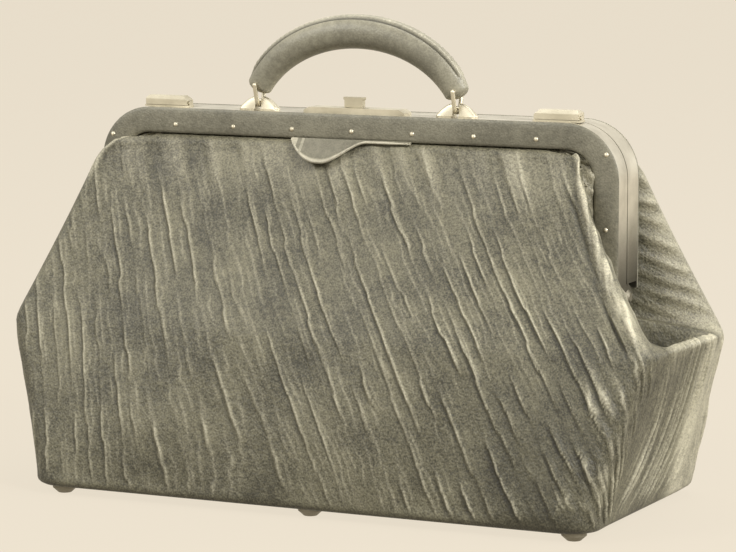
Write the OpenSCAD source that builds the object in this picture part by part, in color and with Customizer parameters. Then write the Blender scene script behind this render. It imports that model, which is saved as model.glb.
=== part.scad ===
// Grained leather travelling bag with a hinged steel frame, top handle, lock and slide catches.
// Millimetres. +X is the wearer's right along the frame, -Y the front, +Z up, floor at z = 0.

/* [Frame] */
// Length of the frame across its arms
frame_len = 412; // [396:1:430]
// Depth of the two closed jaws, front to back
frame_depth = 40; // [36:1:46]
// Height of the frame's top above the floor
frame_top = 282; // [270:1:300]
// Height of the hinge rivets above the belly
hinge_rise = 31; // [27:0.5:38]
// Width of the flat face of each jaw
band_width = 18; // [16:0.5:20]
// Sheet thickness of the jaws
jaw_sheet = 2; // [1.6:0.1:2.4]
// Outer radius of the jaws' top corners
corner_radius = 40; // [35:1:45]
// Distance from the hinge line forward to the line where the jaws part
parting_offset = 2; // [1.5:0.1:2.5]
// Thickness of the leather binding on each jaw's face
cover_sheet = 1.6; // [1.2:0.1:2]
// Spacing of the binding's studs along the top
stud_pitch = 48; // [44:1:52]

/* [Leather body] */
// Length of the bottom
body_len = 440; // [420:1:460]
// Depth of the bottom
body_depth = 216; // [200:1:230]
// How far each end of the belly, the widest line of the bag, stands out past the bottom
belly_reach = 29; // [22:0.5:36]
// How far the belly's front and back corners stand in from the bottom
belly_draw = 33; // [26:0.5:38]
// Height of the belly above the floor
belly_height = 127; // [120:1:134]
// Thickness of the leather
leather = 2.4; // [2:0.1:2.8]
// Height of the grain ridges on the front and back
grain_height = 1.7; // [0.8:0.1:2.2]
// Height of the gathers on the ends
gather_height = 2.2; // [1:0.1:3]
// How far the middle of the front swells past its corners
belly_swell = 10; // [6:0.5:14]

/* [Feet] */
// Height of the bottom nails, floor to leather
foot_height = 6; // [4:0.5:8]
// Radius of the bottom nails' heads
foot_radius = 9; // [7:0.5:11]

/* [Handle] */
// Distance between the two handle rings
ring_span = 158; // [150:1:166]
// Rise of the handle's centre line above the frame's top
handle_rise = 59.5; // [54:0.5:66]
// Thickness of the grip in the middle, seen from the front
grip_height = 24; // [20:0.5:27]
// Width of the grip in the middle, front to back
grip_width = 22; // [18:0.5:25]
// Radius of the handle rings' wire
wire_radius = 1.6; // [1.4:0.1:1.8]
// Height of the staple pins above the frame's top
pin_height = 7.2; // [7:0.1:8]

/* [Lock and catches] */
// Length of the lock plate
lock_len = 80; // [70:1:90]
// Height of the lock plate
lock_height = 4.5; // [3.5:0.1:5.5]
// Travel of the lock's thumb piece
lock_travel = 8; // [7:0.5:9]
// Width of the thumb piece
thumb_width = 16; // [13:0.5:18]
// Distance from the bag's middle to the middle of each catch
catch_offset = 156; // [150:1:158]
// Length of each catch slide
catch_len = 34; // [31:0.5:37]
// Height of the catches above the frame's top
catch_height = 8.5; // [7.5:0.1:9.5]
// Travel of each catch slide
catch_travel = 7; // [6:0.5:8]

/* [Hidden] */
$fn = 48;

// Clearance between pieces that slide or swing on each other
running_gap = 0.3;
// Radial clearance of pins and shanks in their holes
pin_gap = 0.05;
// How far cutters pass through the faces they cut
overrun = 1;

leather_colour = "#5b564a";
binding_colour = "#47443b";
brass_colour = "#d8c694";
steel_colour = "#b9b3a0";
board_colour = "#8f7a58";

function lerp(a, b, t) = a + (b - a) * t;
function clamp01(t) = max(0, min(1, t));
function smooth(t) = let(c = clamp01(t)) c * c * (3 - 2 * c);
function unit(v) = v / norm(v);

// Jaw sizes
hinge_height = belly_height + hinge_rise;
half_len = frame_len / 2;
face_y = frame_depth / 2;
corner_x = half_len - corner_radius;
corner_z = frame_top - corner_radius;
band_foot = frame_top - band_width;
lug_radius = 9;
lug_rise = 22;
rivet_radius = 3;
rivet_head_radius = 5.5;
rivet_head_height = 2.2;
jaw_split = 1.2;
stud_radius = 1.9;
stud_shank_radius = 1;
stud_head_height = 1.3;
stud_rise = 6;
arm_stud_inset = 9;
arm_stud_share = 0.47;
arm_stud_heights = [band_foot - stud_rise / 2, lerp(hinge_height, band_foot, arm_stud_share)];
top_stud_count = 7;

// The shape that a jaw encloses, seen from the front: straight arms and round top corners
module jaw_outline(inset, foot) {
    r = corner_radius - inset;
    translate([-half_len + inset, foot]) square([2 * (half_len - inset), corner_z - foot]);
    translate([-corner_x, foot]) square([2 * corner_x, frame_top - inset - foot]);
    for (side = [-1, 1]) translate([side * corner_x, corner_z]) circle(r);
}

// A U-shaped strip that follows the jaw's outline, laid from y0 to y1
module jaw_strip(width, foot, y0, y1) {
    translate([0, y1, 0]) rotate([90, 0, 0]) linear_extrude(y1 - y0) difference() {
        jaw_outline(0, foot);
        jaw_outline(width, foot - overrun);
    }
}

function stud_places() = concat(
    [for (i = [0 : top_stud_count - 1])
        [(i - (top_stud_count - 1) / 2) * stud_pitch, band_foot + stud_rise]],
    [for (side = [-1, 1], z = arm_stud_heights) [side * (half_len - arm_stud_inset), z]]);

module stud_holes() {
    for (p = stud_places()) translate([p[0], 0, p[1]]) rotate([90, 0, 0])
        cylinder(r = stud_shank_radius + pin_gap, h = face_y + cover_sheet + overrun);
}

// A hinge lug with its bore, in the plane x = x0 to x1, on the right arm
module lug(x0, x1) {
    translate([x0, 0, hinge_height]) rotate([0, 90, 0]) cylinder(r = lug_radius, h = x1 - x0);
}

module lug_bore(x0, x1) {
    translate([x0 - overrun, 0, hinge_height]) rotate([0, 90, 0])
        cylinder(r = rivet_radius + pin_gap, h = x1 - x0 + 2 * overrun);
}

// The front jaw's lugs are the outer ones; they stand clear of the back jaw's
outer_lug_in = half_len - jaw_sheet + running_gap;
inner_lug_out = half_len - jaw_sheet - running_gap;
inner_lug_in = inner_lug_out - jaw_sheet;
back_flange_foot = hinge_height + lug_radius + 2 * running_gap;
arm_foot = hinge_height + lug_radius / 2;
front_edge = -parting_offset - jaw_split / 2;
back_edge = -parting_offset + jaw_split / 2;
back_lug_y = back_edge + running_gap;
back_lug_len = lug_radius - back_lug_y;

// It stands under the end of the front jaw's arm
module front_lug() difference() {
    union() {
        lug(outer_lug_in, half_len);
        translate([outer_lug_in, -lug_radius, hinge_height])
            cube([half_len - outer_lug_in, lug_radius + front_edge, arm_foot - hinge_height]);
    }
    translate([outer_lug_in - overrun, -face_y, arm_foot])
        cube([jaw_sheet + 2 * overrun, face_y + front_edge, lug_radius]);
    lug_bore(outer_lug_in, half_len);
}

// It is cranked, and lies against the inside of the back jaw's arm
module back_lug() difference() {
    union() {
        lug(inner_lug_in, inner_lug_out);
        translate([inner_lug_in, back_lug_y, hinge_height]) cube([jaw_sheet, back_lug_len, lug_rise]);
        translate([inner_lug_in, back_lug_y, back_flange_foot])
            cube([jaw_sheet + running_gap, back_lug_len, hinge_height + lug_rise - back_flange_foot]);
    }
    lug_bore(inner_lug_in, inner_lug_out);
}

module front_lugs() color(steel_colour) for (side = [0, 1]) mirror([side, 0, 0]) front_lug();
module back_lugs() color(steel_colour) for (side = [0, 1]) mirror([side, 0, 0]) back_lug();

// Slots and holes in the front jaw's top for the lock
hardware_y = (-face_y + front_edge) / 2;
slot_width = 4.4;
neck_len = 6;
neck_width = slot_width - 2 * running_gap;
case_len = 52;
keeper_end_gap = 14;
keeper_x = case_len / 2 - keeper_end_gap;
thumb_lead = 14;
thumb_rest = keeper_x - thumb_lead;
slot_x0 = thumb_rest - neck_len / 2 - running_gap;
slot_len = neck_len + lock_travel + 2 * running_gap;

module lock_slot(z, h) {
    translate([slot_x0, hardware_y - slot_width / 2, z - overrun])
        cube([slot_len, slot_width, h + 2 * overrun]);
}

module front_jaw() color(steel_colour) difference() {
    union() {
        jaw_strip(band_width, arm_foot, -face_y, -face_y + jaw_sheet);
        jaw_strip(jaw_sheet, arm_foot, -face_y, front_edge);
    }
    stud_holes();
    lock_slot(frame_top - jaw_sheet, jaw_sheet);
}

module back_jaw() color(steel_colour) difference() {
    union() {
        jaw_strip(band_width, arm_foot, face_y - jaw_sheet, face_y);
        jaw_strip(jaw_sheet, back_flange_foot, back_edge, face_y);
    }
    rotate([0, 0, 180]) stud_holes();
}

// Leather binding over the flat face of a jaw
module binding() {
    difference() {
        jaw_strip(band_width, arm_foot, -face_y - cover_sheet, -face_y);
        stud_holes();
    }
}

module front_binding() color(binding_colour) binding();
module back_binding() color(binding_colour) rotate([0, 0, 180]) binding();

// A domed stud whose shank passes through the binding and the jaw
module stud() {
    dome_radius = (pow(stud_radius, 2) + pow(stud_head_height, 2)) / (2 * stud_head_height);
    depth = cover_sheet + jaw_sheet;
    intersection() {
        translate([0, 0, stud_head_height - dome_radius]) sphere(dome_radius);
        cylinder(r = stud_radius, h = stud_head_height);
    }
    translate([0, 0, -depth]) cylinder(r = stud_shank_radius, h = depth + stud_head_height / 2);
}

module studs() {
    for (p = stud_places()) translate([p[0], -face_y - cover_sheet, p[1]]) rotate([90, 0, 0]) stud();
}

module front_studs() color(brass_colour) studs();
module back_studs() color(brass_colour) rotate([0, 0, 180]) studs();

// The rivet that both jaws turn on, with a domed head outside and a clenched one inside
module hinge_rivet() {
    inside = inner_lug_in - running_gap;
    outside = half_len + running_gap;
    rotate([0, 90, 0]) {
        translate([0, 0, inside]) cylinder(r = rivet_radius, h = outside - inside);
        translate([0, 0, outside]) cylinder(r1 = rivet_head_radius, r2 = rivet_radius, h = rivet_head_height);
        translate([0, 0, inside - jaw_sheet]) cylinder(r = rivet_head_radius, h = jaw_sheet);
    }
}

module hinge_rivets() color(brass_colour) for (side = [0, 1])
    mirror([side, 0, 0]) translate([0, 0, hinge_height]) hinge_rivet();

// Leather body: a loft of horizontal sections, from the bottom up to the rim tucked behind the jaws.
// Columns run round a quarter of the section: the face, the rounded ridge at the front corner, the side
// that turns in to the frame's arm, and half of the end gusset.
face_cols = 42;
ridge_cols = 3;
side_cols = 3;
gusset_cols = 12;
// Columns of the outside to each ridge of the grain, and to each column of the plain inside
grain_cols = 3;
inside_cols = 6;
// Height of a ridge at each of its columns
grain_shares = [0, 1, 0.42];
ridge_start = face_cols;
side_start = ridge_start + ridge_cols;
seam_col = side_start + side_cols;
centre_col = seam_col + gusset_cols;

leather_gap = 1;
roll_gap = 2.4;
roll_drop = 7;
rim_drop = 12;
turn_radius = 5;
belly_len = body_len + 2 * belly_reach;
belly_depth = body_depth - 2 * belly_draw;
turn_share = 0.3;
shelf_gap = 3;
seam_inset = 20;
fold_depth_low = 8;
fold_depth_top = 38;
end_bulge = 5;
ridge_radius_top = 4;
ridge_radius_belly = 13;
ridge_radius_bottom = 22;
lean_share = 0.2;
wander_share = 0.012;
wander_len = 105;
window_inset = 4;
// The front panel's left lip is the full one, which hides the frame's arm; its right lip is drawn in
lip_inset = 6;
lip_reach = 6;
lip_share = 1.12;
lip_open = 2;
lip_flare_share = 0.9;
lip_roll = 9;
lip_fade_share = 6;

flare_share = 1.4;
shoulder_share = 1.35;
tuck_y = face_y - jaw_sheet - running_gap;
roll_y = face_y + cover_sheet + roll_gap;
shelf_top = hinge_height - lug_radius - shelf_gap;
window_z = band_foot - roll_drop;
tuck_z = band_foot - roll_gap;
rim_z = frame_top - jaw_sheet - rim_drop;

turn_shares = [0, turn_share, 1];
lower_shares = [0.34, 0.63, 0.87];
shelf_shares = [0, 0.3, 0.65, 1];
upper_shares = [0.2, 0.45, 0.72, 1];
rows = concat(
    [for (t = turn_shares) foot_height + turn_radius * t],
    [for (t = lower_shares) lerp(foot_height, belly_height, t)],
    [for (t = shelf_shares) lerp(belly_height, shelf_top, t)],
    [for (t = upper_shares) lerp(shelf_top, window_z, t)],
    [tuck_z, rim_z]);
last_row = len(rows) - 1;
tuck_row = last_row - 1;

// How far up the section lies: from bottom to belly, and from belly to the jaws' lower edge
function low(z) = clamp01((z - foot_height) / (belly_height - foot_height));
function high(z) = clamp01((z - belly_height) / (window_z - belly_height));

// Half width of the opening inside the jaws' faces, where the leather comes through
function arm_x(z) = let(dz = max(0, z - corner_z), r = corner_radius - band_width)
    corner_x + sqrt(max(0, r * r - dz * dz)) - leather_gap;

// The walls' lower edges turn under to meet the bottom
function turn(z) = let(d = turn_radius + foot_height - z)
    d > 0 ? turn_radius - sqrt(turn_radius * turn_radius - d * d) : 0;

// Place of the ridge at the panel's right (lip 1) or left (lip -1) corner
function belly_x(lip) = belly_len / 2 + (lip > 0 ? 0 : lip_reach);
function ridge_x(z, lip) = z < belly_height
    ? lerp(body_len / 2, belly_x(lip), pow(low(z), flare_share)) - turn(z)
    : lip > 0
    ? lerp(belly_x(lip), arm_x(window_z) - window_inset, 1 - pow(1 - high(z), shoulder_share))
    : min(lerp(belly_x(lip), half_len - lip_inset, 1 - pow(1 - high(z), lip_share)),
        arm_x(window_z) + lip_open + lip_flare_share * (window_z - z));
function ridge_y(z, lip) = z < belly_height
    ? lerp(body_depth / 2, belly_depth / 2, pow(low(z), flare_share)) - turn(z)
    : lerp(belly_depth / 2, lip > 0 ? roll_y : roll_y + lip_roll, high(z));
function swell(z) = belly_swell * (z < belly_height ? low(z) : 1 - high(z));
function ridge_radius(z) = z < belly_height
    ? lerp(ridge_radius_bottom, ridge_radius_belly, low(z))
    : lerp(ridge_radius_belly, ridge_radius_top, high(z));
function fold_x(z) = let(t = clamp01((z - shelf_top) / (rim_z - shelf_top)))
    arm_x(z) - lerp(fold_depth_low, fold_depth_top, t);
// 1 where the end is folded in to the frame's arms, 0 on the full end below
function folded(z) = smooth((z - belly_height) / (shelf_top - belly_height));

// Face of the section at column a, measured to the right (side 1) or left (side -1)
function face_point(z, a, side) =
    let(u = side * a / face_cols,
        drop = 1 - (z - foot_height) / (window_z - foot_height),
        wander = wander_share * sin(360 * z / wander_len + 270 * u),
        s = u + (lean_share * drop + wander) * (1 - u * u),
        reach = ridge_x(z, s < 0 ? -1 : 1) - ridge_radius(z),
        y = lerp(ridge_y(z, 1), ridge_y(z, -1), pow((1 - s) / 2, lip_fade_share)))
    [reach * s, -y - swell(z) * (1 - u * u)];

function ridge_point(z, a, lip) =
    let(turn = 90 * (a - ridge_start) / ridge_cols, r = ridge_radius(z))
    [ridge_x(z, lip) - r + r * sin(turn), -ridge_y(z, lip) + r - r * cos(turn)];

function end_point(z, y, lip) = let(share = y / ridge_y(z, lip))
    [ridge_x(z, lip) + end_bulge * low(z) * (1 - share * share), y];

function folded_side(z, a, lip) =
    let(from = ridge_point(z, side_start, lip),
        pass = [arm_x(z), -min(roll_y - leather_gap, (tuck_y - from[1]) / 2)],
        seam = [arm_x(z), -tuck_y],
        k = a - side_start)
    k == 1 ? (from + pass) / 2 : k == 2 ? pass : seam;

function full_side(z, a, lip) = let(inset = seam_inset * (a - side_start) / side_cols)
    end_point(z, -ridge_y(z, lip) + ridge_radius(z) + inset, lip);

function side_point(z, a, lip) = lerp(full_side(z, a, lip), folded_side(z, a, lip), folded(z));

// The gusset runs from one lip's seam to its middle, where both lips share it
function gusset_point(z, a, lip) =
    let(t = folded(z), g = (a - seam_col) / gusset_cols,
        y = full_side(z, seam_col, lip)[1] * (1 - g),
        full = lerp(end_point(z, y, lip), end_point(z, y, -lip), g / 2),
        fold = lerp([arm_x(z), -tuck_y], [fold_x(z), 0], g))
    lerp(full, fold, t);

// Above the tuck the section lies flat behind the jaw's face
function tucked_point(z, a, side) = a <= seam_col
    ? [side * arm_x(z) * a / seam_col, -tuck_y]
    : let(p = lerp([arm_x(z), -tuck_y], [fold_x(z), 0], (a - seam_col) / gusset_cols)) [side * p[0], p[1]];

function quarter_point(z, a, side, lip) =
    a <= ridge_start ? face_point(z, a, side)
    : let(p = a <= side_start ? ridge_point(z, a, lip)
        : a <= seam_col ? side_point(z, a, lip) : gusset_point(z, a, lip))
      [side * p[0], p[1]];

// Smooth surface at a row and a signed column; past the gusset's middle it mirrors to the back
function base(r, c) =
    let(side = c < 0 ? -1 : 1, a = abs(c), front = a <= centre_col, q = front ? a : 2 * centre_col - a,
        z = rows[r], lip = front ? side : -side,
        p = r >= tuck_row ? tucked_point(z, q, side) : quarter_point(z, q, side, lip))
    [p[0], front ? p[1] : -p[1], z];

function normal(r, c) =
    let(along = base(r, c + 1) - base(r, c - 1),
        up = base(min(r + 1, last_row), c) - base(max(r - 1, 0), c))
    unit(cross(along, up));

// Ridges of the grain on the face and gathers on the end, both fading out at the edges
ridge_vary_share = 0.35;
ridge_vary_turn = 73;
function grain(r, c) =
    let(a = abs(c), z = rows[r], edge = r < len(turn_shares) - 1 || r >= tuck_row - 1,
        share = grain_shares[(c + grain_cols * face_cols) % grain_cols],
        lift = 1 + ridge_vary_share * sin(ridge_vary_turn * c + 360 * z / wander_len),
        fold = grain_shares[(a - seam_col) % grain_cols],
        fold_lift = low(z) * sin(180 * (a - seam_col) / (2 * gusset_cols)))
    edge ? 0
    : a < face_cols ? grain_height * share * lift * (1 - pow(a / face_cols, 8))
    : a > seam_col && z <= belly_height ? gather_height * fold * fold_lift
    : 0;
function outer(r, c) = base(r, c) + normal(r, c) * grain(r, c);
// Behind the jaws the sheets are skived thin next to their seams, where they lie on each other
skive_share = 0.3;
function sheet_at(r, c) = let(a = abs(c), q = min(a, 2 * centre_col - a))
    r >= tuck_row - 1 && q >= side_start && q <= seam_col + grain_cols ? leather * skive_share : leather;
function inner(r, c) = base(r, c) - normal(r, c) * sheet_at(r, c);

// The inside is plain, so it keeps fewer columns on the face and the gusset
function kept(c) = let(a = abs(c))
    a < face_cols ? a % inside_cols == 0 : a > seam_col ? (a - seam_col) % grain_cols == 0 : true;

// A sheet of leather between two columns of the loft
module sheet(c0, c1) {
    m = last_row + 1;
    n = c1 - c0 + 1;
    inside = [for (c = [c0 : c1]) if (kept(c)) c];
    k = len(inside);
    skin = n * m;
    points = concat(
        [for (r = [0 : last_row], c = [c0 : c1]) outer(r, c)],
        [for (r = [0 : last_row], c = inside) inner(r, c)]);
    quads = concat(
        [for (r = [0 : m - 2], c = [0 : n - 2]) let(a = r * n + c) [a, a + n, a + n + 1, a + 1]],
        [for (r = [0 : m - 2], c = [0 : k - 2]) let(a = skin + r * k + c) [a, a + 1, a + k + 1, a + k]],
        [for (r = [0 : m - 2]) let(a = r * n, b = skin + r * k) [a, b, b + k, a + n]],
        [for (r = [0 : m - 2]) let(a = r * n + n - 1, b = skin + r * k + k - 1) [a, a + n, b + k, b]]);
    // The lower and upper edges join several outside columns to each inside one
    foot_edge = [for (i = [0 : k - 2]) let(a = inside[i] - c0, b = inside[i + 1] - c0, p = skin + i)
        each concat([for (c = [a : b - 1]) [c, c + 1, p]], [[b, p + 1, p]])];
    top = (m - 1) * n;
    top_in = skin + (m - 1) * k;
    rim_edge = [for (i = [0 : k - 2])
        let(a = top + inside[i] - c0, b = top + inside[i + 1] - c0, p = top_in + i)
        each concat([for (c = [a : b - 1]) [c + 1, c, p]], [[p + 1, b, p]])];
    faces = [for (q = quads) each [[q[0], q[1], q[2]], [q[0], q[2], q[3]]]];
    polyhedron(points, concat(faces, foot_edge, rim_edge));
}

module front_panel() color(leather_colour) sheet(-seam_col, seam_col);
module back_panel() color(leather_colour) rotate([0, 0, 180]) sheet(-seam_col, seam_col);
module right_gusset() color(leather_colour) sheet(seam_col, 2 * centre_col - seam_col);
module left_gusset() color(leather_colour) rotate([0, 0, 180]) sheet(seam_col, 2 * centre_col - seam_col);

// Bottom: a leather panel inside the walls' lower edges, and a stiff board on it
bottom_sheet = 3;
board_sheet = 3;
board_inset = 2;
corner_ease = 2;
// The turned edges' inner corners stand in from the outline
edge_share = 0.6;
edge_inset = leather * edge_share;
bottom_rise = [foot_height, foot_height + bottom_sheet];

// Outline of the opening between the walls' turned edges, drawn in by a margin
module floor_outline(margin) {
    x = body_len / 2 - turn_radius - margin;
    y = body_depth / 2 - turn_radius - margin;
    r = ridge_radius_bottom + corner_ease;
    translate([-x, -y + r]) square([2 * x, 2 * (y - r)]);
    translate([-x + r, -y]) square([2 * (x - r), 2 * y]);
    for (sx = [-1, 1], sy = [-1, 1]) translate([sx * (x - r), sy * (y - r)]) circle(r);
}

nail_inset_x = 18;
nail_inset_y = 16;
nail_shank_radius = 2;
nail_shoulder_share = 0.6;
nail_flat_radius = 5;
function nail_places() = [for (sx = [-1, 0, 1], sy = [-1, 1])
    [sx * (body_len / 2 - nail_inset_x), sy * (body_depth / 2 - nail_inset_y)]];

module nail_holes() {
    for (p = nail_places()) translate([p[0], p[1], foot_height - overrun])
        cylinder(r = nail_shank_radius + pin_gap, h = bottom_sheet + board_sheet + 2 * overrun);
}

module bottom_panel() color(leather_colour) difference() {
    translate([0, 0, foot_height]) linear_extrude(bottom_sheet) floor_outline(edge_inset + running_gap);
    nail_holes();
}

module bottom_board() color(board_colour) difference() {
    translate([0, 0, foot_height + bottom_sheet]) linear_extrude(board_sheet) floor_outline(board_inset);
    nail_holes();
}

// A flat-bottomed bottom nail, turned
module bottom_nail() {
    shoulder = foot_height * nail_shoulder_share;
    top = foot_height + bottom_sheet + board_sheet;
    rotate_extrude() polygon([[0, 0], [nail_flat_radius, 0], [foot_radius, shoulder],
        [foot_radius, foot_height], [nail_shank_radius, foot_height], [nail_shank_radius, top], [0, top]]);
}

module bottom_nails() color(brass_colour) for (p = nail_places())
    translate([p[0], p[1], 0]) bottom_nail();

// Pull tab: a leaf of leather under the front jaw, deep on the left and trailing off to the right
tab_left = -48;
tab_right = 48;
tab_drop = 14;
tab_root = 3;
tab_sheet = 2;
tab_lean = 13;
tab_cols = 20;
tab_rows = 3;
tab_lead_share = 0.14;
tab_hold_share = 0.3;
tab_fall_share = 0.34;

function tab_depth(s) = tab_root
    + tab_drop * smooth(s / tab_lead_share) * (1 - smooth((s - tab_hold_share) / tab_fall_share));
function tab_point(i, j, back) =
    let(s = i / tab_cols, t = j / tab_rows, d = tab_depth(s) * t,
        lean = tab_lean * d / (tab_root + tab_drop),
        y = -face_y - cover_sheet - running_gap - lean)
    [lerp(tab_left, tab_right, s), y + (back ? tab_sheet : 0), band_foot - running_gap - d];

module pull_tab() color(leather_colour) {
    n = tab_rows + 1;
    points = concat(
        [for (i = [0 : tab_cols], j = [0 : tab_rows]) tab_point(i, j, false)],
        [for (i = [0 : tab_cols], j = [0 : tab_rows]) tab_point(i, j, true)]);
    skin = n * (tab_cols + 1);
    quads = concat(
        [for (i = [0 : tab_cols - 1], j = [0 : tab_rows - 1])
            let(k = i * n + j) [k, k + n, k + n + 1, k + 1]],
        [for (i = [0 : tab_cols - 1], j = [0 : tab_rows - 1])
            let(k = skin + i * n + j) [k, k + 1, k + n + 1, k + n]],
        [for (i = [0 : tab_cols - 1]) let(k = i * n) [k, skin + k, skin + k + n, k + n]],
        [for (i = [0 : tab_cols - 1]) let(k = i * n + tab_rows) [k, k + n, skin + k + n, skin + k]],
        [for (j = [0 : tab_rows - 1]) [j, j + 1, skin + j + 1, skin + j]],
        [for (j = [0 : tab_rows - 1]) let(k = tab_cols * n + j) [k, skin + k, skin + k + 1, k + 1]]);
    polyhedron(points, [for (q = quads) each [[q[0], q[1], q[2]], [q[0], q[2], q[3]]]]);
}

// Handle: an arched grip on two rings that hang on the staples' pins
pin_z = frame_top + pin_height;
pin_radius = 1.3;
ring_bend = 4;
ring_low_radius = ring_bend + wire_radius;
ring_top_half = 9;
eye_rise = 12;
eye_z = pin_z + eye_rise;
ring_low_z = pin_z - pin_radius - running_gap - wire_radius + ring_low_radius;
wire_step = 0.05;
wire_bite = 0.4;
grip_reach = 6.5;
grip_end_share = 0.78;
grip_waist_share = 0.54;
grip_cols = 28;
grip_sides = 14;
welt_height = 1.6;
grip_tip = 5.1;
grip_drop = 27;
grip_cap_share = 0.8;
grip_half = ring_span / 2 + grip_reach;
grip_foot = eye_z - grip_drop;
grip_crown = frame_top + handle_rise - grip_foot;
grip_start = asin((eye_z - grip_tip - grip_foot) / grip_crown);

// Centre line of the grip: most of a half ellipse over the rings
function grip_angle(i) = lerp(180 - grip_start, grip_start, i / grip_cols);
function grip_place(i) = let(t = grip_angle(i))
    [grip_half * cos(t), hardware_y, grip_foot + grip_crown * sin(t)];
function grip_out(i) = let(t = grip_angle(i)) unit([cos(t) / grip_half, 0, sin(t) / grip_crown]);
// Taper towards the ends, with the end rings drawn in to round the tips
function grip_size(i, end_share) = let(t = abs(2 * i / grip_cols - 1))
    lerp(1, end_share, t * t) * (i == 0 || i == grip_cols ? grip_cap_share : 1);

// A point round the grip: an oval with a sewn welt along its outer side
function grip_point(i, k) =
    let(t = 360 * k / grip_sides, welt = k == 0 ? welt_height : 0)
    grip_place(i) + grip_out(i) * (cos(t) * grip_height / 2 * grip_size(i, grip_end_share) + welt)
        + [0, sin(t) * grip_width / 2 * grip_size(i, grip_waist_share), 0];

module grip_body() {
    n = grip_sides;
    points = [for (i = [0 : grip_cols], k = [0 : n - 1]) grip_point(i, k)];
    skin = [for (i = [0 : grip_cols - 1], k = [0 : n - 1])
        let(a = i * n + k, b = i * n + (k + 1) % n) each [[a, b, b + n], [a, b + n, a + n]]];
    caps = [[for (k = [n - 1 : -1 : 0]) k], [for (k = [0 : n - 1]) grip_cols * n + k]];
    polyhedron(points, concat(skin, caps));
}

module handle_grip() color(leather_colour) difference() {
    grip_body();
    for (side = [-1, 1]) translate([side * ring_span / 2, hardware_y + grip_width, eye_z])
        rotate([90, 0, 0]) cylinder(r = wire_radius + running_gap, h = 2 * grip_width);
}

// A straight piece of ring wire from a to b, both [y, z]
module wire(a, b) {
    d = b - a;
    translate([0, a[0], a[1]]) rotate([-atan2(d[0], d[1]), 0, 0])
        cylinder(r = wire_radius - wire_step, h = norm(d));
}

module wire_ball(p) translate([0, p[0], p[1]]) sphere(wire_radius);

// A pear-shaped ring: a round bend under the staple's pin, legs that leave it along their tangents, and a
// straight bar through the grip's eye
ring_rise = eye_z - ring_low_z;
ring_flare = atan2(ring_top_half, ring_rise) - asin(ring_low_radius / norm([ring_top_half, ring_rise]));
leg_y = ring_low_radius * cos(ring_flare) - wire_bite * sin(ring_flare);
leg_z = ring_low_z - ring_low_radius * sin(ring_flare) - wire_bite * cos(ring_flare);

module ring() {
    translate([0, 0, ring_low_z]) rotate([90, 0, 90]) rotate([0, 0, ring_flare - 180])
        rotate_extrude(angle = 180 - 2 * ring_flare) translate([ring_low_radius, 0]) circle(wire_radius);
    for (side = [-1, 1]) {
        wire([side * leg_y, leg_z], [side * ring_top_half, eye_z]);
        wire_ball([side * ring_top_half, eye_z]);
    }
    wire([-ring_top_half, eye_z], [ring_top_half, eye_z]);
}

module left_ring() color(brass_colour) translate([-ring_span / 2, hardware_y, 0]) ring();
module right_ring() color(brass_colour) translate([ring_span / 2, hardware_y, 0]) ring();

// Staple: two round ears on a foot plate, with the pin that the ring hangs on
ear_radius = 3.2;
ear_len = 10;
ring_slot = 5;
foot_plate_len = 32;
foot_plate_width = 11;
foot_plate_sheet = 1.4;

module staple() {
    translate([-foot_plate_len / 2 + foot_plate_width / 2, -foot_plate_width / 2, frame_top])
        cube([foot_plate_len - foot_plate_width, foot_plate_width, foot_plate_sheet]);
    for (side = [-1, 1]) {
        translate([side * (foot_plate_len - foot_plate_width) / 2, 0, frame_top])
            cylinder(r = foot_plate_width / 2, h = foot_plate_sheet);
        translate([side > 0 ? ring_slot / 2 : -ring_slot / 2 - ear_len, 0, 0]) {
            translate([0, 0, pin_z]) rotate([0, 90, 0]) cylinder(r = ear_radius, h = ear_len);
            translate([0, -ear_radius, frame_top]) cube([ear_len, 2 * ear_radius, pin_height]);
        }
    }
    translate([-ring_slot / 2 - overrun, 0, pin_z]) rotate([0, 90, 0])
        cylinder(r = pin_radius, h = ring_slot + 2 * overrun);
}

// The ring's bend needs room in the foot plate between the ears
module slotted_staple() difference() {
    staple();
    translate([-ring_slot / 2, -foot_plate_width, frame_top - overrun])
        cube([ring_slot, 2 * foot_plate_width, foot_plate_sheet + overrun + running_gap]);
}

module left_staple() color(brass_colour) translate([-ring_span / 2, hardware_y, 0]) slotted_staple();
module right_staple() color(brass_colour) translate([ring_span / 2, hardware_y, 0]) slotted_staple();

// Lock: a plate and thumb piece on top, a case with the bolt under the jaw, a keeper on the back jaw
lock_width = 14;
lock_slope = 4;
case_width = 10;
case_height = 11;
case_wall = 1.2;
bolt_radius = 2.2;
bolt_gap = 0.5;
keeper_sheet = 3;
keeper_hole_radius = bolt_radius + 2 * running_gap;
keeper_lip = 1.2;
keeper_height = 8;
keeper_foot = 7;
jaw_inside = frame_top - jaw_sheet;
bolt_z = jaw_inside - case_height / 2;
bolt_nose = keeper_x - running_gap - overrun;
bolt_len = bolt_nose + case_len / 2 - case_wall - bolt_gap;
guide_len = 3;
guide_inset = 11;
guide_rest = guide_inset - case_len / 2;
thumb_height = 7.5;
thumb_depth = 5;
thumb_flare = 0.8;
thumb_flare_share = 0.7;
thumb_edge_share = 0.2;
mouth_gap = 1;

module lock_plate() color(brass_colour) difference() {
    end = lock_len / 2;
    step = lock_height / 2;
    translate([0, hardware_y + lock_width / 2, frame_top]) rotate([90, 0, 0]) linear_extrude(lock_width)
        polygon([[-end, 0], [end, 0], [end, step], [end - lock_slope, lock_height],
            [-end + lock_slope, lock_height], [-end, step]]);
    lock_slot(frame_top, lock_height);
}

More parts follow.
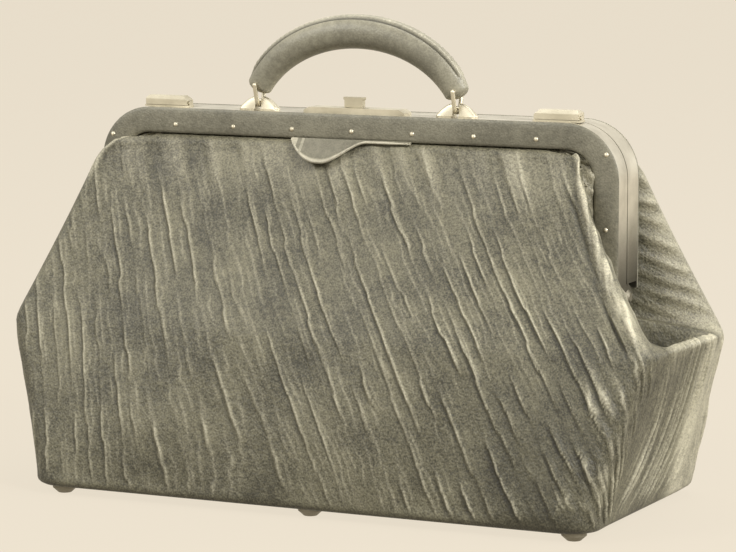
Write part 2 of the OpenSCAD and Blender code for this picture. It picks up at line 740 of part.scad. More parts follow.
module lock_case() color(steel_colour) difference() {
    y0 = hardware_y - case_width / 2;
    z0 = jaw_inside - case_height;
    union() {
        difference() {
            translate([-case_len / 2, y0, z0]) cube([case_len, case_width, case_height]);
            translate([-case_len / 2 + case_wall, y0 + case_wall, z0 + case_wall])
                cube([case_len - 2 * case_wall, case_width - 2 * case_wall, case_height]);
        }
        for (x = [bolt_nose - running_gap - guide_len, guide_rest])
            translate([x, y0 + case_wall / 2, z0 + case_wall / 2])
                cube([guide_len, case_width - case_wall, case_height - case_wall / 2]);
    }
    translate([-case_len / 2 + case_wall, hardware_y, bolt_z]) rotate([0, 90, 0])
        cylinder(r = bolt_radius + pin_gap, h = case_len - 2 * case_wall);
    translate([slot_x0, hardware_y - slot_width / 2, bolt_z]) cube([slot_len, slot_width, case_height]);
    translate([keeper_x - mouth_gap, y0 + case_wall, z0 - overrun])
        cube([keeper_sheet + 2 * mouth_gap, case_width, case_height + 2 * overrun]);
}

module lock_bolt() color(steel_colour) {
    translate([bolt_nose - bolt_len, hardware_y, bolt_z]) rotate([0, 90, 0])
        cylinder(r = bolt_radius, h = bolt_len);
    translate([thumb_rest - neck_len / 2, hardware_y - neck_width / 2, bolt_z])
        cube([neck_len, neck_width, frame_top + lock_height + running_gap - bolt_z]);
}

// The thumb piece stands on the bolt's neck, a little wider at its top corners
module thumb_piece() color(brass_colour) {
    wide = thumb_width / 2;
    slim = wide - thumb_flare;
    neck = thumb_height * thumb_flare_share;
    edge = thumb_height * (1 - thumb_edge_share);
    translate([thumb_rest, hardware_y + thumb_depth / 2, frame_top + lock_height + running_gap])
        rotate([90, 0, 0]) linear_extrude(thumb_depth)
            polygon([[-slim, 0], [slim, 0], [slim, neck], [wide, edge], [wide, thumb_height],
                [-wide, thumb_height], [-wide, edge], [-slim, neck]]);
}

// The keeper hangs under the back jaw's top and reaches forward into the case
module lock_keeper() color(steel_colour) difference() {
    union() {
        translate([keeper_x, hardware_y - bolt_radius - keeper_lip, bolt_z - keeper_height / 2])
            cube([keeper_sheet, back_edge - hardware_y + bolt_radius + keeper_lip + keeper_foot,
                keeper_height]);
        translate([keeper_x - keeper_foot / 2, back_edge + running_gap, jaw_inside - keeper_sheet])
            cube([keeper_foot + keeper_sheet, keeper_foot - running_gap, keeper_sheet]);
        translate([keeper_x, back_edge + running_gap, bolt_z])
            cube([keeper_sheet, keeper_foot - running_gap, jaw_inside - bolt_z]);
    }
    translate([keeper_x - overrun, hardware_y, bolt_z]) rotate([0, 90, 0])
        cylinder(r = keeper_hole_radius, h = keeper_sheet + 2 * overrun);
}

// Catches: a bevelled slide on a T rail; its tongue runs over the back jaw to a headed stud
rail_sheet = 1.4;
rail_width = 10;
rail_len = 36;
rail_neck = 4;
rail_head = 6.4;
rail_neck_height = 1.4;
rail_head_height = 1.4;
tongue_sheet = 1.6;
tongue_len = 14;
tongue_reach = 12;
catch_depth = 11;
catch_bevel = 2.6;
catch_chamfer = 3.5;
catch_stud_neck = 1.6;
catch_stud_head = 3.2;
catch_stud_y = 5;
catch_stud_height = 3.6;
catch_stud_cap = 1.2;
tongue_end = 4;
tongue_x = tongue_end - tongue_len;
catch_stud_x = tongue_end + catch_stud_head + running_gap;
catch_y = front_edge - running_gap - catch_depth / 2;
slide_foot = frame_top + rail_sheet + running_gap;
slide_top = frame_top + catch_height;

// A bar that runs the length of a catch, centred on its rail
module rail_bar(len, width, z, height) {
    translate([-len / 2, catch_y - width / 2, z]) cube([len, width, height]);
}

module catch_rail() {
    rail_bar(rail_len, rail_width, frame_top, rail_sheet);
    rail_bar(rail_len, rail_neck, frame_top, rail_sheet + rail_neck_height);
    rail_bar(rail_len, rail_head, frame_top + rail_sheet + rail_neck_height, rail_head_height);
}

module rail_groove() {
    z = frame_top + rail_sheet;
    rail_bar(2 * rail_len, rail_neck + 2 * running_gap, z - overrun, rail_neck_height + 2 * overrun);
    rail_bar(2 * rail_len, rail_head + 2 * running_gap, z + rail_neck_height - running_gap,
        rail_head_height + 2 * running_gap);
}

// The slide's block: chamfered ends, the longer one towards the lock, and bevelled front and back
module slide_block() {
    end = catch_len / 2;
    side = catch_depth / 2;
    short = catch_chamfer / 2;
    intersection() {
        translate([0, catch_y + side, 0]) rotate([90, 0, 0]) linear_extrude(catch_depth)
            polygon([[-end, slide_foot], [end, slide_foot], [end, slide_top - short],
                [end - short, slide_top], [-end + catch_chamfer, slide_top],
                [-end, slide_top - catch_chamfer]]);
        translate([-catch_len, catch_y, 0]) rotate([90, 0, 90]) linear_extrude(2 * catch_len)
            polygon([[-side, slide_foot], [side, slide_foot], [side, slide_top - catch_bevel],
                [side - catch_bevel, slide_top], [-side + catch_bevel, slide_top],
                [-side, slide_top - catch_bevel]]);
    }
}

// Slide of the right catch
module catch_slide() difference() {
    union() {
        slide_block();
        translate([tongue_x, catch_y + catch_depth / 2 - overrun, slide_foot])
            cube([tongue_len, tongue_reach + overrun, tongue_sheet]);
    }
    rail_groove();
    translate([tongue_end, catch_stud_y, slide_foot - overrun]) catch_slot();
}

// The open-ended slot in the tongue that takes the stud's neck
module catch_slot() {
    w = catch_stud_neck + running_gap;
    reach = catch_travel - catch_stud_head;
    translate([-reach, 0, 0]) cylinder(r = w, h = tongue_sheet + 2 * overrun);
    translate([-reach, -w, 0]) cube([reach + overrun, 2 * w, tongue_sheet + 2 * overrun]);
}

module catch_stud() translate([catch_stud_x, catch_stud_y, frame_top]) {
    cylinder(r = catch_stud_neck, h = catch_stud_height);
    translate([0, 0, catch_stud_height]) cylinder(r = catch_stud_head, h = catch_stud_cap);
}

// The left catch mirrors the right one
module at_catch(side) translate([side * catch_offset, 0, 0]) mirror([side < 0 ? 1 : 0, 0, 0]) children();

module left_catch_rail() color(brass_colour) at_catch(-1) catch_rail();
module right_catch_rail() color(brass_colour) at_catch(1) catch_rail();
module left_catch_slide() color(brass_colour) at_catch(-1) catch_slide();
module right_catch_slide() color(brass_colour) at_catch(1) catch_slide();
module left_catch_stud() color(brass_colour) at_catch(-1) catch_stud();
module right_catch_stud() color(brass_colour) at_catch(1) catch_stud();

front_panel();
back_panel();
left_gusset();
right_gusset();
bottom_panel();
bottom_board();
bottom_nails();
hinge_rivets();
front_jaw();
back_jaw();
front_lugs();
back_lugs();
front_binding();
back_binding();
front_studs();
back_studs();
pull_tab();
handle_grip();
left_ring();
right_ring();
left_staple();
right_staple();
lock_plate();
lock_case();
lock_bolt();
thumb_piece();
lock_keeper();
left_catch_rail();
right_catch_rail();
left_catch_slide();
right_catch_slide();
left_catch_stud();
right_catch_stud();
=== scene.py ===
# Grained leather travelling bag on a hinged steel frame, for Object Factory.
# Metres, +Z up, front towards -Y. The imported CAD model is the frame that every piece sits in.
import math
import bpy
import numpy as np
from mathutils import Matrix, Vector


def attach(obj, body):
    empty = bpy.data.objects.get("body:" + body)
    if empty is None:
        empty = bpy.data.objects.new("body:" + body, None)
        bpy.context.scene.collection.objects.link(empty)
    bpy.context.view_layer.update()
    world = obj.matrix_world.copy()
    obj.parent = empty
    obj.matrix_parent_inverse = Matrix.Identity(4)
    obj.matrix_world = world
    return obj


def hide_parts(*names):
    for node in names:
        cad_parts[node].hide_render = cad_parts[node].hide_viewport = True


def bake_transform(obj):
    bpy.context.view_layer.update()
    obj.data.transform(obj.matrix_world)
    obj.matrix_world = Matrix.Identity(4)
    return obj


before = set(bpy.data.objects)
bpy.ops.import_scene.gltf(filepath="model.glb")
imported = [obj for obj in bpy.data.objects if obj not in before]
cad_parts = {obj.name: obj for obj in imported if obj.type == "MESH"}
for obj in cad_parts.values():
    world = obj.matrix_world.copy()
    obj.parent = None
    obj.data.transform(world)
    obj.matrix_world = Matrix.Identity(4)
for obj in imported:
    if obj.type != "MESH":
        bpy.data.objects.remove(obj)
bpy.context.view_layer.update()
bpy.ops.object.select_all(action="DESELECT")

# Camera: the photograph's own view, fitted to it.
# About 25 degrees round to the right and 8 degrees up, from 2.4 m with a long lens.
eye = Vector((0.9852, -2.1528, 0.4841))
aim = Vector((0.0192, -0.0346, 0.1669))
bpy.ops.object.camera_add(location=eye, rotation=(aim - eye).to_track_quat("-Z", "Y").to_euler())
camera = bpy.context.object
camera.name = "camera"
camera.data.sensor_width = 36
camera.data.lens = 158.73
bpy.context.scene.camera = camera


# Stage: a wide cream floor that fills the picture evenly, as the printed page does.
# Soft light comes from the right and above, with a weaker fill on the left.
def feed(tree, node, inputs):
    # Links each input to another node's output, or gives it a value
    for entry, value in inputs.items():
        if isinstance(value, bpy.types.NodeSocket):
            tree.links.new(value, node.inputs[entry])
        else:
            node.inputs[entry].default_value = value


def add(tree, kind, inputs=None):
    node = tree.nodes.new(kind)
    feed(tree, node, inputs or {})
    return node


def reckon(tree, operation, *values, clamp=False):
    node = tree.nodes.new("ShaderNodeMath")
    node.operation = operation
    node.use_clamp = clamp
    feed(tree, node, dict(enumerate(values)))
    return node.outputs[0]


cream = (0.835, 0.752, 0.617, 1)
page_glow = 0.94
bpy.ops.mesh.primitive_plane_add(size=60)
floor = bpy.context.object
floor.name = "floor"
paper = bpy.data.materials.new("paper")
paper.use_nodes = True
tree = paper.node_tree
path = add(tree, "ShaderNodeLightPath")
seen = reckon(tree, "MAXIMUM", path.outputs["Is Camera Ray"], path.outputs["Is Glossy Ray"])
feed(tree, tree.nodes["Principled BSDF"], {
    "Base Color": (0.05, 0.045, 0.037, 1), "Roughness": 0.9, "Specular IOR Level": 0,
    "Emission Color": cream, "Emission Strength": reckon(tree, "MULTIPLY", seen, page_glow)})
floor.data.materials.append(paper)

scene = bpy.context.scene
scene.view_settings.view_transform = "Standard"
world = bpy.data.worlds.new("studio")
scene.world = world
world.use_nodes = True
tree = world.node_tree
path = add(tree, "ShaderNodeLightPath")
# The bag is lit by a weak sky, its metal mirrors a brighter one, and the camera sees the page
sky = tree.nodes["Background"]
feed(tree, sky, {"Color": (1, 0.96, 0.9, 1), "Strength": 0.38})
bright = add(tree, "ShaderNodeBackground", {"Color": (1, 0.96, 0.88, 1), "Strength": 0.95})
page = add(tree, "ShaderNodeBackground", {"Color": cream})
mirrored = add(tree, "ShaderNodeMixShader",
               {"Fac": path.outputs["Is Glossy Ray"], 1: sky.outputs[0], 2: bright.outputs[0]})
choose = add(tree, "ShaderNodeMixShader",
             {"Fac": path.outputs["Is Camera Ray"], 1: mirrored.outputs[0], 2: page.outputs[0]})
feed(tree, tree.nodes["World Output"], {"Surface": choose.outputs[0]})
lit = Vector((0, 0, 0.15))
for name, place, power, size in (
    ("key", (2.7, -1.25, 1.9), 88, 0.9),
    ("fill", (-1.9, -2.3, 2.3), 62, 1.6),
    ("top", (0.2, 0.6, 2.8), 30, 1.6),
    ("end", (2.6, 1.5, 1.0), 26, 1.2),
):
    bpy.ops.object.light_add(type="AREA", location=place)
    light = bpy.context.object
    light.name = name
    light.rotation_euler = (lit - light.location).to_track_quat("-Z", "Y").to_euler()
    light.data.energy = power
    light.data.size = size

# Leather of the body: a heavy hide with a boarded grain, waxed and worn paler along its creases, with painted
# highlights on them and painted shade in its hollows.
# One node group gives the grain's height and tone, and each leather mixes its own colours from them.
hide_grain = bpy.data.node_groups.new("hide_grain", "ShaderNodeTree")
for name, way in (("Pores", "INPUT"), ("Speck", "INPUT"), ("Height", "OUTPUT"), ("Tone", "OUTPUT")):
    hide_grain.interface.new_socket(name, in_out=way, socket_type="NodeSocketFloat")
given = add(hide_grain, "NodeGroupInput")
place = add(hide_grain, "ShaderNodeTexCoord").outputs["Object"]
pebble = add(hide_grain, "ShaderNodeTexVoronoi")
pebble.feature = "SMOOTH_F1"
feed(hide_grain, pebble, {"Vector": place, "Scale": given.outputs["Pores"], "Smoothness": 0.4})
wrinkle = add(hide_grain, "ShaderNodeTexNoise", {"Vector": place, "Scale": 210, "Detail": 5, "Roughness": 0.6})
blotch = add(hide_grain, "ShaderNodeTexNoise", {"Vector": place, "Scale": 22, "Detail": 4})
speck = add(hide_grain, "ShaderNodeTexNoise", {"Vector": place, "Scale": 760, "Detail": 2})
height = reckon(hide_grain, "MULTIPLY_ADD", pebble.outputs["Distance"], 0.8, wrinkle.outputs[0])
# A Mix node for numbers takes its factor at 0 and its ends at 2 and 3
tone = add(hide_grain, "ShaderNodeMix", {0: 0.4, 2: blotch.outputs[0], 3: wrinkle.outputs[0]})
specked = add(hide_grain, "ShaderNodeMix", {0: given.outputs["Speck"], 2: tone.outputs[0], 3: speck.outputs[0]})
feed(hide_grain, add(hide_grain, "NodeGroupOutput"), {"Height": height, "Tone": specked.outputs[0]})


def tones(tree, amount, dark, pale, stops=(0, 1)):
    ramp = add(tree, "ShaderNodeValToRGB", {"Fac": amount})
    for stop, spot, colour in zip(ramp.color_ramp.elements, stops, (dark, pale)):
        stop.position = spot
        stop.color = (*colour, 1)
    return ramp.outputs[0]


def tinted(tree, amount, base, tint):
    # A Mix node for colours takes its factor at 0 and its ends at 6 and 7, and puts out at 2
    node = add(tree, "ShaderNodeMix")
    node.data_type = "RGBA"
    feed(tree, node, {0: amount, 6: base, 7: (*tint, 1)})
    return node.outputs[2]


def leather(name, dark, pale, worn_and_highlit, rough, bump, pores, speck, creases=0.0):
    mat = bpy.data.materials.new(name)
    mat.use_nodes = True
    tree = mat.node_tree
    grain = add(tree, "ShaderNodeGroup")
    grain.node_tree = hide_grain
    feed(tree, grain, {"Pores": pores, "Speck": speck})
    tone = grain.outputs["Tone"]
    base = tones(tree, tone, dark, pale, (0.4, 0.61))
    # Above zero the crest attribute marks worn places and painted highlights, which the grain breaks into specks
    crest = add(tree, "ShaderNodeAttribute")
    crest.attribute_name = "crest"
    crest = crest.outputs["Fac"]
    speckle = add(tree, "ShaderNodeMapRange",
                  {"Value": tone, "From Min": 0.38, "From Max": 0.62, "To Min": 0.45, "To Max": 1.15})
    wear_and_highlight = reckon(tree, "MULTIPLY", crest, speckle.outputs[0], clamp=True)
    worn_and_highlit_base = tinted(tree, wear_and_highlight, base, worn_and_highlit)
    # Below zero it marks painted shade in hollows and grooves
    hollow_shade = reckon(tree, "MULTIPLY", crest, -1, clamp=True)
    colour = tinted(tree, hollow_shade, worn_and_highlit_base, [0.35 * c for c in dark])
    gloss = add(tree, "ShaderNodeMapRange", {"Value": tone, "To Min": rough - 0.08, "To Max": rough + 0.12})
    relief = add(tree, "ShaderNodeBump",
                 {"Strength": bump, "Distance": 0.0008, "Height": grain.outputs["Height"]})
    if creases:
        # Fine creases run along the flow that the sheet's UV map holds
        flow = add(tree, "ShaderNodeUVMap")
        flow.uv_map = "UVMap"
        stretch = add(tree, "ShaderNodeMapping", {"Vector": flow.outputs[0], "Scale": (30, 8, 1)})
        lines = add(tree, "ShaderNodeTexNoise",
                    {"Vector": stretch.outputs[0], "Scale": 1, "Detail": 6, "Roughness": 0.62})
        fold = add(tree, "ShaderNodeBump", {"Strength": creases, "Distance": 0.004, "Height": lines.outputs[0]})
        feed(tree, relief, {"Normal": fold.outputs[0]})
    feed(tree, tree.nodes["Principled BSDF"],
         {"Base Color": colour, "Roughness": gloss.outputs[0], "Normal": relief.outputs[0]})
    return mat


body_leather = leather(
    "body_leather", dark=(0.05, 0.0455, 0.0275), pale=(0.235, 0.215, 0.137), worn_and_highlit=(0.74, 0.68, 0.49),
    rough=0.5, bump=0.45, pores=520, speck=0.45, creases=0.26)

# Front panel: one hide sewn to the gussets behind its two lips, which hang over the frame's arms.
# It swells at the belly, is drawn in under the frame's band, and creases down to the right.
# Points are worked out in millimetres, as in the CAD, and mm turns them into metres.
mm = 0.001
foot_z, belly_z, shelf_z, window_z, tuck_z, rim_z = 6, 127, 146, 257, 261.6, 268
foot_y, belly_y, roll_y, tuck_y = 108, 75, 24, 17.7
drawn_foot_x, drawn_belly_x = 220, 249
full_foot_x, full_belly_x, full_top_x = 225, 257, 201
window_x, window_r, window_bow_z = 165, 22.0, 242
foot_r, foot_end_z = 5, 13
seam_in = 20
end_swell = 5
hide_sheet = 2.4
# Shares of the half sheet where the flat face ends and where the ridge at the corner ends
face_share, ridge_share = 0.875, 0.9375
# How far the columns of the mesh slip to the right towards the foot, as the creases do
slip = 0.45


def lerp(a, b, t):
    return a + (b - a) * t


def ease(t):
    t = np.clip(t, 0, 1)
    return t * t * (3 - 2 * t)


def noise(x, y, seed):
    size = 64
    table = np.random.default_rng(seed).uniform(-1, 1, (size, size))
    i, j = np.floor(x).astype(int), np.floor(y).astype(int)
    u, v = ease(x - i), ease(y - j)

    def at(a, b):
        return table[a % size, b % size]

    return lerp(lerp(at(i, j), at(i + 1, j), u), lerp(at(i, j + 1), at(i + 1, j + 1), u), v)


def low(z):
    # Share of the way up from the foot to the belly
    return np.clip((z - foot_z) / (belly_z - foot_z), 0, 1)


def high(z):
    # Share of the way up from the belly to the frame's window
    return np.clip((z - belly_z) / (window_z - belly_z), 0, 1)


def arm_x(z):
    # Inner side of the frame's arm, which bows in at the top
    return window_x + np.sqrt(np.maximum(0, window_r ** 2 - np.maximum(0, z - window_bow_z) ** 2))


def turn(z):
    # How far the rounded foot draws the walls in
    return foot_r - np.sqrt(np.maximum(0, foot_r ** 2 - np.maximum(0, foot_z + foot_r - z) ** 2))


def corner_x(z, lip):
    # Place of the ridge at the panel's drawn-in right corner (lip 1) or its full left one (lip -1)
    if lip > 0:
        up = lerp(drawn_belly_x, arm_x(np.array(window_z)) - 4, 1 - (1 - high(z)) ** 1.35)
        return np.where(z < belly_z, lerp(drawn_foot_x, drawn_belly_x, low(z) ** 1.4), up)
    shoulder = 13 * (1 - np.sqrt(1 - np.clip((z - 240) / 17.5, 0, 1) ** 2))
    up = lerp(full_belly_x, full_top_x, 1 - (1 - high(z)) ** 1.12) - shoulder
    return np.where(z < belly_z, lerp(full_foot_x, full_belly_x, low(z) ** 1.2), up)


def corner_y(z, lip):
    top_y = roll_y if lip > 0 else roll_y + 9
    return np.where(z < belly_z, lerp(foot_y, belly_y, low(z) ** 1.4), lerp(belly_y, top_y, high(z)))


def soft(f):
    # The same course with its kink at the belly eased over 4 mm either way
    return lambda z, *lip: (f(z - 4, *lip) + 2 * f(z, *lip) + f(z + 4, *lip)) / 4


ridge_x, ridge_y = soft(corner_x), soft(corner_y)
swell = soft(lambda z: 10 * np.where(z < belly_z, low(z), 1 - high(z)))
bend = soft(lambda z: np.where(z < belly_z, lerp(22, 13, low(z)), lerp(13, 4, high(z))))


def folded(z):
    # 0 where the end is full, 1 where it is folded in between the arms
    return ease((z - belly_z) / (shelf_z - belly_z))


def fold_x(z):
    return arm_x(z) - lerp(8, 38, np.clip((z - shelf_z) / (rim_z - shelf_z), 0, 1))


def end_x(z, y, lip):
    return ridge_x(z, lip) - turn(z) + end_swell * low(z) * (1 - (y / ridge_y(z, lip)) ** 2)


def lip_grid(z, arc, side, lip):
    # One corner of the panel: the rounded ridge, then the side that turns in to the frame's arm
    rx, ry, r = ridge_x(z, lip) - turn(z), ridge_y(z, lip) - turn(z), bend(z)
    ridge = np.stack(np.broadcast_arrays(rx - r + r * np.sin(arc), -ry + r - r * np.cos(arc)), -1)
    from_y = -ry + r
    y = from_y + seam_in * side
    full = np.stack(np.broadcast_arrays(lerp(rx + 0 * side, end_x(z, y, lip), ease(side * 3)), y), -1)
    # Above the shelf the side hangs past the arm in a curve, then goes in behind it
    pass_y = -np.minimum(roll_y - 0.6, (tuck_y - from_y) / 2)
    t = np.clip(side / 0.8, 0, 1)
    px = (1 - t) ** 2 * rx + 2 * t * (1 - t) * (rx - 2) + t ** 2 * arm_x(z)
    py = (1 - t) ** 2 * from_y + 2 * t * (1 - t) * lerp(from_y, pass_y, 0.5) + t ** 2 * pass_y
    py = lerp(py, -tuck_y, np.clip((side - 0.8) / 0.2, 0, 1))
    hung = np.stack(np.broadcast_arrays(px, py), -1)
    return np.concatenate([ridge, lerp(full, hung, folded(z)[..., None])], 1)


def panel_grid(z, over, u, arc, side):
    # Points of the panel at heights z, then over the roll and in behind the band
    drop = 1 - (z - foot_z) / (window_z - foot_z)
    s = u + slip * drop * (1 - u * u)
    r = bend(z)
    left, right = ridge_x(z, -1) - turn(z), ridge_x(z, 1) - turn(z)
    y = lerp(ridge_y(z, 1), ridge_y(z, -1), ((1 - s) / 2) ** 6) - turn(z) + swell(z) * (1 - u * u)
    face = np.stack(np.broadcast_arrays(np.where(s < 0, left - r, right - r) * s, -y), -1)
    points = np.concatenate([lip_grid(z, arc, side, -1)[:, ::-1] * (-1, 1), face, lip_grid(z, arc, side, 1)], 1)
    points = np.concatenate([points, np.broadcast_to(z[..., None], points.shape[:2] + (1,))], -1)
    share = np.concatenate([lerp(face_share, ridge_share, arc / (math.pi / 2)), lerp(ridge_share, 1, side)], 1)[0]
    share = np.concatenate([-share[::-1], face_share * u[0], share])
    end_z = tuck_z - 10 * ease((np.abs(share) - 0.82) / 0.13)
    tucked = np.stack([arm_x(end_z) * share, 0 * share - tuck_y, end_z], -1)
    rim = tucked + np.array([0, 0, rim_z - tuck_z])
    roll = [lerp(points[-1], tucked, ease(v)) + np.array([0, 0, 2.4 * math.sin(math.pi * v)]) for v in over]
    return np.concatenate([points, np.array(roll), rim[None]], 0), share[None]


def outward(points):
    along = np.gradient(points, axis=1)
    up = np.gradient(points, axis=0)
    n = np.cross(along, up)
    return n / np.maximum(1e-9, np.linalg.norm(n, axis=-1, keepdims=True))


def crests(s, along, pitch, width, seed, run, jog, step):
    # Creases a pitch apart across s, each in short straight steps and waxing and waning along its run
    sharp = 1.5
    rows, steps = 97, 61
    k = np.floor(s / pitch)
    lift = np.zeros_like(s)
    table = np.random.default_rng(seed + 3).uniform(-1, 1, (rows, steps))
    for near in (-1, 0, 1):
        row = k + near
        off = noise(row * 5.37, row * 2.11, seed + 1) * 0.32 * pitch
        at = along / step + row * 0.618
        i = np.floor(at).astype(int)
        r = row.astype(int) % rows
        off = off + jog * lerp(table[r, i % steps], table[r, (i + 1) % steps], ease((at - i - 0.72) / 0.28))
        d = s - (row + 0.5) * pitch - off
        strength = np.clip(0.45 + 0.9 * noise(row * 3.71, along / run + row * 0.37, seed), 0, 1)
        lift = np.maximum(lift, strength * np.exp(-np.abs(d / width) ** sharp))
    return lift


def hide(name, points, uv, crest, material, keep=1.0):
    # A grid of leather at these points, thickened inwards, with its flow in UV and its crests as an attribute
    rows, cols = points.shape[:2]
    bpy.ops.mesh.primitive_grid_add(x_subdivisions=cols - 1, y_subdivisions=rows - 1)
    obj = bpy.context.object
    obj.name = name
    mesh = obj.data
    mesh.vertices.foreach_set("co", (points * mm).astype(np.float32).ravel())
    corner = np.empty(len(mesh.loops), dtype=np.int32)
    mesh.loops.foreach_get("vertex_index", corner)
    mesh.uv_layers[0].uv.foreach_set("vector", (uv.reshape(-1, 2)[corner] * 0.01).astype(np.float32).ravel())
    mesh.attributes.new("crest", "FLOAT", "POINT").data.foreach_set("value", crest.astype(np.float32).ravel())
    mesh.update()
    thick = obj.modifiers.new("thickness", "SOLIDIFY")
    thick.thickness = hide_sheet * mm
    thick.offset = -1
    if keep < 1:
        thick.shell_vertex_group = obj.vertex_groups.new(name="inside").name
    bpy.ops.object.modifier_apply(modifier=thick.name)
    if keep < 1:
        # The plain inside of the sheet needs far fewer faces than its creased outside
        fewer = obj.modifiers.new("fewer", "DECIMATE")
        fewer.ratio = keep
        fewer.vertex_group = "inside"
        bpy.ops.object.modifier_apply(modifier=fewer.name)
    bpy.ops.object.shade_smooth()
    mesh.materials.append(material)
    bpy.ops.object.select_all(action="DESELECT")
    return obj


def panel(name, seed, half_turn):
    foot = foot_z + foot_r * (1 - np.cos(np.linspace(0, math.pi / 2, 5)))
    z = np.concatenate([foot, np.linspace(foot_end_z, window_z, 112)])[:, None]
    even = np.linspace(-1, 1, 541)[None]
    u = (1 - np.sqrt(1 - 2 * slip * (even - slip / 2))) / slip
    arc = np.linspace(0, math.pi / 2, 23)[None, 1:]
    side = np.linspace(0, 1, 29)[None, 1:]
    points, share = panel_grid(z, (0.15, 0.3, 0.45, 0.6, 0.8, 1), u, arc, side)
    h = np.minimum(points[..., 2], window_z)
    h[len(z):] = window_z
    along = np.abs(share) + 0 * h
    drawn = share + 0 * h > 0
    # Distance along the sheet from its middle, so that creases run on round the corners
    pace = np.linalg.norm(np.diff(points[..., :2], axis=1), axis=-1)
    x = np.concatenate([np.zeros((len(h), 1)), np.cumsum(pace, 1)], 1)
    middle = np.argmin(np.abs(points[..., 0]), 1)
    x = x - np.take_along_axis(x, middle[:, None], 1)
    # Creases: long and sharp, nearly upright on the left and leaning more to the right and lower down
    fall = window_z - h
    across = x + 0.46 * points[..., 1] + 4 * noise(x / 95, h / 120, seed)
    run = 1.05 * fall - 25 * (1 - np.exp(-fall / 50))
    s = across
    for _ in range(8):
        lean = lerp(7, 21, ease((s + 225) / 110)) + 6 * ease((s + 110) / 180)
        s = across - run * np.tan(np.radians(lean))
    long_crease = dict(pitch=12.5, seed=seed + 2, run=25, jog=1.3, step=17)
    main = crests(s, h, width=1.0, **long_crease)
    groove = crests(s + 2.4, h, width=1.5, **long_crease)
    plump = crests(s - 1.5, h, width=4.5, **long_crease)
    less = crests(s + 1.5 * noise(x / 17, h / 22, seed + 1), h,
                  pitch=6.1, width=0.75, seed=seed + 4, run=17, jog=1.0, step=9)
    waves = 0.5 * noise(s / 14, h / 50, seed + 6) + 1.6 * noise(x / 60, h / 66, seed + 7)
    reach = lerp(0.97, 0.88, ease((h - 105) / 30))
    inside = ease((h - 8) / 10) * (1 - 0.75 * ease((h - 226) / 28)) * (1 - ease((along - reach) / 0.03))
    strong = 1 + 0.7 * ease((x - 20) / 130) * ease((200 - h) / 60)
    lift = ((1.15 * main - 0.55 * groove + 0.7 * plump) * strong + 0.35 * less + waves) * inside
    # The drawn-in corner is a knotted roll with a groove beside it; the other one only stands a little proud
    roll_at, beside_at = 0.905, 0.858
    roll = np.exp(-((along - roll_at) / 0.019) ** 2) * ease((h - 124) / 16) * np.where(drawn, 1, 0.3)
    knots = ease(0.5 + 0.75 * noise(h / 7 - along * 50, along * 70, seed + 14))
    lift += roll * (1.1 + 3.0 * knots * drawn)
    beside = (np.exp(-((along - beside_at) / 0.012) ** 2) * ease((h - 122) / 14)
              * (1 - ease((h - 222) / 20)) * drawn)
    lift -= 1.8 * beside
    # Short, hard buckles beside the drawn-in corner, below its roll
    low_corner = (ease((share - 0.66) / 0.1) * (1 - ease((along - 0.9) / 0.05))
                  * ease((h - 12) / 16) * ease((140 - h) / 24))
    wavy = s + 0.8 * noise(x / 9, h / 12, seed + 15)
    close = crests(wavy, h, pitch=13, width=2.0, seed=seed + 16, run=10, jog=1.6, step=8)
    loose = crests(wavy, h, pitch=17, width=1.6, seed=seed + 18, run=12, jog=1.6, step=8)
    buckle = np.maximum(close, loose) * low_corner
    lift += 1.5 * buckle
    # Cross folds on the two lips, where the leather turns back to the arms
    turned = (ease((along - 0.93) / 0.02) * (1 - ease((along - 0.985) / 0.015))
              * ease((h - 128) / 30) * (1 - ease((h - 244) / 10)))
    tilt = h + 0.42 * np.abs(points[..., 0]) + 3 * noise(h / 19, along * 26, seed + 8)
    fold = (0.5 + 0.5 * np.sin(tilt / 2.05)) ** 3 * (0.6 + 0.4 * noise(h / 15, along * 40, seed + 9))
    lift += turned * (3.0 * fold + 0.9 * noise(tilt / 8, along * 14, seed + 10))
    # Full, soft pleats where the leather comes out from under the band
    under = ease((h - 212) / 36) * (1 - ease((along - 0.85) / 0.04))
    under[len(z):] *= np.array([0.8, 0.5, 0.2, 0, 0, 0, 0])[:, None]
    pleat = noise(s / 9, h / 80, seed + 12)
    lift += 1.5 * under * pleat
    lift[-4:] = 0
    points = points + outward(points) * lift[..., None]
    # Pale wear and painted highlights on what stands out, painted shade in the grooves
    crest = np.clip(0.74 * main ** 1.2 * strong + 0.36 * less, 0, 1) - 0.35 * groove * strong
    crest = crest * inside + 0.52 * turned * fold
    # The knotted roll is painted pale, as wear and as a painted highlight, and the groove beside it gets painted shade
    crest += roll ** 1.5 * np.where(drawn, 0.42 + 0.85 * knots, 0) - 0.45 * beside
    # The buckles get painted highlights, and the pleats under the band get painted light and shade
    crest += 1.05 * buckle + under * (0.14 + 0.26 * np.maximum(pleat, -0.35))
    # The full corner is made pale too, as wear and as a painted highlight: all the way up on the back panel, near the
    # band on the front one
    corner = ease((along - 0.86) / 0.03) * (1 - ease((along - 0.96) / 0.04) * ease((h - 112) / 14))
    wear_and_highlight = lerp(0.8, 0.37, ease((h - 110) / 40)) if half_turn else 0.85 * ease((h - 222) / 20)
    crest += np.where(drawn, 0, wear_and_highlight * corner)
    # Painted light on the drawn-in lip's turned side, which lies in shade, and painted shade near the end of the full
    # lip's turn
    crest += turned * np.where(drawn, 0.3, -0.45 * ease((along - 0.95) / 0.03))
    # Painted shade: the leather is darker low on the right
    crest -= 0.42 * ease((share * 240 + 20) / 190) * ease((170 - h) / 120) * (1 - ease((along - 0.88) / 0.05))
    if half_turn:
        points = points * (-1, -1, 1)
    return hide(name, points, np.stack([s, h], -1), np.clip(crest, -1, 1), body_leather, keep=0.56)


front_leather = panel("front_leather", 11, False)
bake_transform(front_leather)
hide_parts("front_panel")

# Back panel: the same hide turned about, sewn in the same way, with creases of its own.
# Only its right lip shows in the photograph.
back_leather = panel("back_leather", 47, True)
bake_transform(back_leather)
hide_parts("back_panel")
